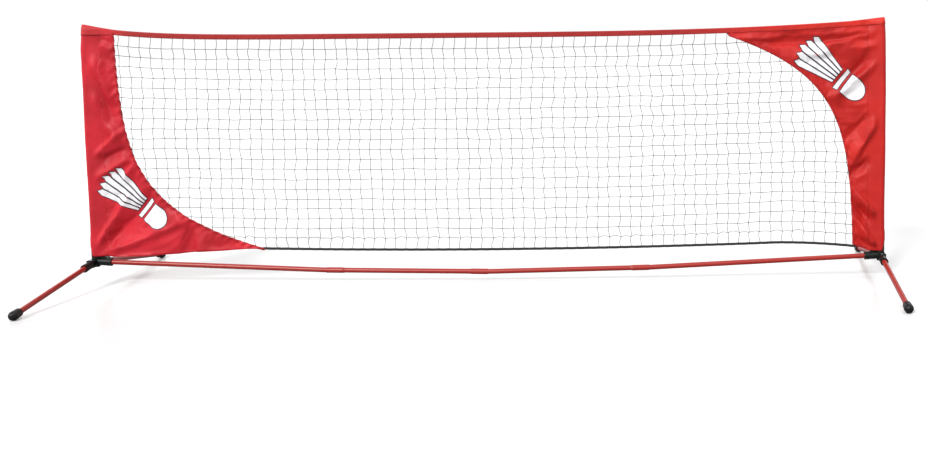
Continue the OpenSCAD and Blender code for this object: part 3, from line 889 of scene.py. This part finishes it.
def side_panel(side, name, node):
    """A panel, its settled inner edge, the cut's area and the cut's flat size."""
    hem, inner, top, pole = panel_outline(side)
    outline = hem[:-1] + inner[:-1] + top[:-1] + pole[:-1]
    count = len(outline)
    hem_end, inner_end = len(hem) - 1, len(hem) + len(inner) - 2
    low, high = extent(outline)
    points = list(outline)
    rows = math.ceil((high.y - low.y) / (PANEL_PITCH * 0.87))
    across = math.ceil((high.x - low.x) / PANEL_PITCH)
    for j in range(rows + 1):
        for i in range(across + 1):
            spot = Vector((low.x + (i + 0.5 * (j % 2)) * PANEL_PITCH, low.y + j * PANEL_PITCH * 0.87))
            if inside_by(spot, outline, PANEL_PITCH * 0.55):
                points.append(spot)
    edges = [(i, (i + 1) % count) for i in range(count)]
    flat, _, triangles, *_ = delaunay_2d_cdt(points, edges, [], 1, 1e-7)
    verts = [Vector((p.x, -front_of(side, p.x, p.y), p.y)) for p in flat]
    panel = mesh_object(name, verts, [tuple(t) for t in triangles], RED_FABRIC, None)

    pinned = dict.fromkeys(range(count), 1.0)
    pinned.update(dict.fromkeys(range(1, hem_end), 0.0))
    pinned.update(dict.fromkeys(range(hem_end + 1, inner_end + 1), 0.9))
    settle(panel, pinned, 0.012)
    for vertex in panel.data.vertices:
        vertex.co.y *= smooth((tape_low(vertex.co.x) + 4 * MM - vertex.co.z) / 0.02)
    pucker(panel, side)
    thicken(panel)
    edge = [panel.data.vertices[k].co.copy() for k in range(hem_end, inner_end + 1)]
    loop = list(zip(outline, outline[1:] + outline[:1]))
    area = abs(sum(p.x * q.y - q.x * p.y for p, q in loop)) / 2
    area += ALLOWANCE * sum((q - p).length for p, q in loop)
    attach(panel, NET_BODY)
    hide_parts(node)
    return panel, edge, area, high - low + Vector((ALLOWANCE, ALLOWANCE))


def inside_by(spot, outline, margin):
    """Whether spot lies inside a 2D outline and at least margin from its points."""
    inside = False
    for p, q in zip(outline, outline[1:] + outline[:1]):
        if (p.y > spot.y) != (q.y > spot.y) and spot.x < p.x + (spot.y - p.y) / (q.y - p.y) * (q.x - p.x):
            inside = not inside
        if abs(p.x - spot.x) < margin and abs(p.y - spot.y) < margin and (p - spot).length < margin:
            return False
    return inside


PUCKER = 2.6 * MM
PUCKER_PITCH = 38 * MM
PUCKER_REACH = 18 * MM


def pucker(panel, side):
    """The netting pulls the inner edge into a row of small puckers, one to each cord."""
    edge_x, rise = INNER_X[side], 10 * MM
    for vertex in panel.data.vertices:
        x, z = vertex.co.x, vertex.co.z
        slope = abs(edge_x(z + rise) - edge_x(z)) / rise
        gap = inner_gap(side, x, z) / math.hypot(1, slope)
        if gap < 2.5 * PUCKER_REACH:
            near = math.exp(-((gap / PUCKER_REACH) ** 2))
            run = (z + abs(x) * 0.9) / PUCKER_PITCH
            wave = math.sin(2 * math.pi * run + 1.5 * math.sin(run * 0.7))
            vertex.co.y -= PUCKER * near * wave


# -------------------------------------------------------- bindings and stitches
BINDING_W = 9 * MM
STITCH = 3.4 * MM
STITCH_PITCH = 5 * MM
STITCH_SIDES = 5


def surface_of(*objects):
    """A BVH tree of the objects' final surfaces, modifiers included."""
    verts, faces = [], []
    graph = bpy.context.evaluated_depsgraph_get()
    graph.update()
    for obj in objects:
        mesh = obj.evaluated_get(graph).to_mesh()
        base = len(verts)
        verts += [v.co.copy() for v in mesh.vertices]
        faces += [tuple(base + i for i in p.vertices) for p in mesh.polygons]
    return BVHTree.FromPolygons(verts, faces)


def on_face(surface, x, z, front):
    """The point of a surface seen from the front (-Y) or the back at (x, z), and its normal."""
    way = -1 if front else 1
    hit, normal, *_ = surface.ray_cast(Vector((x, way * 0.1, z)), Vector((0, -way, 0)))
    if hit is None:
        return None, None
    return hit, normal if normal.y * way > 0 else -normal


def binding(side, name, edge, panel):
    """A folded strip sewn over the inner edge of a panel."""
    surface = surface_of(panel)
    verts, faces = [], []
    for i, point in enumerate(edge):
        ahead = (edge[min(i + 1, len(edge) - 1)] - edge[max(i - 1, 0)]).normalized()
        inward = Vector((ahead.z, 0, -ahead.x))
        if inward.x * side < 0:
            inward.negate()
        rows = []
        for reach in (BINDING_W, 0.55 * BINDING_W, 0.12 * BINDING_W):
            spot = point + inward * reach
            found = surface.find_nearest(spot)[0]
            rows.append(Vector((spot.x, found.y, spot.z)))
        skin = 0.75 * MM
        front = [p + Vector((0, -skin, 0)) for p in rows]
        back = [p + Vector((0, skin, 0)) for p in reversed(rows)]
        rim = rows[-1] - inward * (0.12 * BINDING_W + 0.9 * MM)
        lip = rows[0] + inward * 0.3 * MM
        inner_front, inner_back = (lip + Vector((0, s * 0.45 * MM, 0)) for s in (-1, 1))
        verts += [inner_front] + front + [rim] + back + [inner_back]
    add_rings(faces, len(edge), len(verts) // len(edge), closed=False, flip=side > 0)
    return mesh_object(f"binding_{name}", verts, faces, RED_BINDING, NET_BODY)


def sew(verts, faces, surface, line, front):
    """Adds a row of stitches on a surface along a line of (x, z) points."""
    for start, end in zip(line, line[1:]):
        place = (start + end) / 2
        hit, normal = on_face(surface, place.x, place.y, front)
        if hit is None:
            continue
        run = Vector((end.x - start.x, 0, end.y - start.y)).normalized()
        run = (run - normal * run.dot(normal)).normalized()
        side = run.cross(normal)
        base = len(verts)
        centre = hit + normal * 0.18 * MM
        verts += [centre - run * STITCH / 2, centre + run * STITCH / 2]
        for turn in range(STITCH_SIDES):
            angle = 2 * math.pi * turn / STITCH_SIDES
            verts.append(centre + (side * math.cos(angle) + normal * math.sin(angle)) * 0.42 * MM)
        for k in range(STITCH_SIDES):
            a, b = base + 2 + k, base + 2 + (k + 1) % STITCH_SIDES
            faces += [(base, b, a), (base + 1, a, b)]


def offset_line(function, a, b, away):
    """Evenly spaced (x, z) points beside a curve, away to its left."""
    points = along_curve(function, a, b, STITCH_PITCH)
    line = []
    for i, p in enumerate(points):
        ahead = (points[min(i + 1, len(points) - 1)] - points[max(i - 1, 0)]).normalized()
        line.append(p + Vector((-ahead.y, ahead.x)) * away)
    return line


def panel_stitches(side, name, panel, strip, sleeve):
    """Stitch rows round a panel: inner binding, hem, and the seam beside the pole."""
    inner_x = INNER_X[side]
    hem_z = LEFT_HEM_Z if side < 0 else RIGHT_HEM_Z
    corner = Vector((inner_x(hem_z), hem_z))
    foot = Vector((side * (POLE_X - SEAM_U), HEM_FOOT[side]))
    cloth, bound = surface_of(panel, sleeve), surface_of(strip)
    top_z = (tape_low(-POLE_X + PANEL_NARROW) if side < 0 else PANEL_TOP) - 3 * MM
    seam_top = tape_low(side * POLE_X) - 4 * MM

    rows = [
        (bound, lambda z: Vector((inner_x(z), z)), hem_z + 6 * MM, top_z, side * 0.75 * BINDING_W),
        (cloth, lambda t: foot.lerp(corner, t), 0.02, 0.98, -side * 10 * MM),
    ]
    for inset in (3 * MM, 7 * MM):
        x = side * (POLE_X - SEAM_U - inset)
        rows.append((cloth, lambda z, x=x: Vector((x, z)), foot.y + 12 * MM, seam_top, 0))
    verts, faces = [], []
    for surface, *run in rows:
        line = offset_line(*run)
        for front in (True, False):
            sew(verts, faces, surface, line, front)
    return mesh_object(f"stitching_{name}", verts, faces, THREAD, NET_BODY)


def tape_stitches(tape):
    """Two rows of stitches along the top tape's lower edge, front and back."""
    surface = surface_of(tape)
    verts, faces = [], []
    for front in (True, False):
        for above in (3 * MM, 6 * MM):
            line = along_curve(lambda x: Vector((x, tape_low(x) + above)), -POLE_X - 8 * MM, POLE_X + 8 * MM,
                               STITCH_PITCH)
            sew(verts, faces, surface, line, front)
    return mesh_object("stitching_top", verts, faces, THREAD, NET_BODY)


# ---------------------------------------------------------------------- emblems
EMBLEM_PITCH = 4 * MM
OUTLINE = 3.2 * MM


def shuttle_shapes(size):
    """A plain shuttlecock as closed outlines: a round cork, a collar and five feathers."""
    shapes = []
    nose = [Vector((-0.03 - 0.042 * math.cos(a), 0.036 * math.sin(a)))
            for a in (math.radians(d) for d in range(-90, 91, 12))]
    shapes.append([Vector((0.0, -0.036))] + nose + [Vector((0.0, 0.036))])
    collar = ((0.012, -0.037), (0.012, 0.037), (0.026, 0.040), (0.026, -0.040))
    shapes.append([Vector(p) for p in collar])
    for k in range(-2, 3):
        lean = k * math.radians(5.5)
        along, aside = Vector((math.cos(lean), math.sin(lean))), Vector((-math.sin(lean), math.cos(lean)))
        root, reach = Vector((0.040, k * 0.0118)), 0.150 - 0.007 * abs(k)
        outline = ((0, -0.0034), (0.55, -0.0072), (1, -0.0102), (1.08, 0.0020), (0.95, 0.0098),
                   (0.55, 0.0072), (0, 0.0034))
        shapes.append([root + along * (reach * run) + aside * across for run, across in outline])
    return [[p * size for p in shape] for shape in shapes]


def grown(shape, by):
    """A closed outline moved outwards by a distance, with its corners rounded off by extra points."""
    turn = sum(p.x * q.y - q.x * p.y for p, q in zip(shape, shape[1:] + shape[:1]))
    points = []
    for before, p, after in zip(shape[-1:] + shape[:-1], shape, shape[1:] + shape[:1]):
        first, second = (p - before).normalized(), (after - p).normalized()
        for way in (first, (first + second).normalized(), second):
            out = Vector((way.y, -way.x)) if turn > 0 else Vector((-way.y, way.x))
            points.append(p + out * by)
    return points


def printed(surface, outline, at, turn, height, verts, faces):
    """Adds one printed shape, cut to the outline and laid height above the cloth's front."""
    cosine, sine = math.cos(turn), math.sin(turn)

    def placed(p):
        return Vector((at.x + p.x * cosine - p.y * sine, at.y + p.x * sine + p.y * cosine))

    border = []
    for p, q in zip(outline, outline[1:] + outline[:1]):
        border += [p.lerp(q, t) for t in steps(0, 1, EMBLEM_PITCH / max((q - p).length, 1e-5))[:-1]]
    points = list(border)
    low, high = extent(border)
    for i in range(int((high.x - low.x) / EMBLEM_PITCH) + 1):
        for j in range(int((high.y - low.y) / EMBLEM_PITCH) + 1):
            spot = low + Vector(((i + 0.5 * (j % 2)) * EMBLEM_PITCH, j * EMBLEM_PITCH))
            if inside_by(spot, border, 0.6 * EMBLEM_PITCH):
                points.append(spot)
    ring = [(i, (i + 1) % len(border)) for i in range(len(border))]
    flat, _, triangles, *_ = delaunay_2d_cdt(points, ring, [], 1, 1e-7)
    base = len(verts)
    for p in flat:
        spot = placed(p)
        hit, normal = on_face(surface, spot.x, spot.y, True)
        if hit is None:
            raise ValueError(f"the emblem leaves the cloth at {spot.x:.3f}, {spot.y:.3f}")
        verts.append(hit + normal * height)
    for triangle in triangles:
        face = tuple(base + i for i in triangle)
        a, b, c = (verts[i] for i in face)
        faces.append(face if (b - a).cross(c - a).y < 0 else face[::-1])


def emblem(name, cloth, at, turn, size):
    surface = surface_of(*cloth)
    layers = (
        ("outline", INK_DARK, "tape_black", OUTLINE, 0.4 * MM),
        ("emblem", INK_WHITE, "collet_white", 0, 0.8 * MM),
    )
    for layer, ink, slot, by, height in layers:
        verts, faces = [], []
        for shape in shuttle_shapes(size):
            printed(surface, grown(shape, by) if by else shape, at, turn, height, verts, faces)
        mesh_object(f"{layer}_{name}", verts, faces, ink, NET_BODY)


# ------------------------------------------------------------- carried-over CAD
FINISHES = (
    (("connector", "leg_knuckle", "lock_body", "lock_nut"), PLASTIC),
    (("base_tube", "leg_tube", "lower_pole"), TUBE_PAINT),
    (("upper_pole",), POLE_PAINT),
    (("foot_cap", "pole_cap", "guide_bush"), CAP_RUBBER),
    (("lock_collet",), COLLET),
    (("snap", "hinge_pins", "collar_rivets", "leg_rivet"), STEEL),
)


def finish_hardware():
    for name, obj in cad_nodes.items():
        for starts, material in FINISHES:
            if name.startswith(starts):
                obj.data.materials.clear()
                obj.data.materials.append(material)


def main():
    camera()
    studio()
    netting()
    finish_hardware()
    bottom_webbing()
    tape = top_tape()
    tape_stitches(tape)
    emblems = {-1: (from_left(0.214, 0.281), 1.08), 1: (from_right(0.131, 0.748), 1.12)}
    for side, name in ((-1, "left"), (1, "right")):
        sleeve = pole_sleeve(side, name)
        panel, edge, area, size = side_panel(side, f"panel_{name}", f"side_panel_{name}")
        strip = binding(side, name, edge, panel)
        thread = panel_stitches(side, name, panel, strip, sleeve)
        at, scale = emblems[side]
        emblem(name, (panel, sleeve), at, math.radians(140), scale)


main()
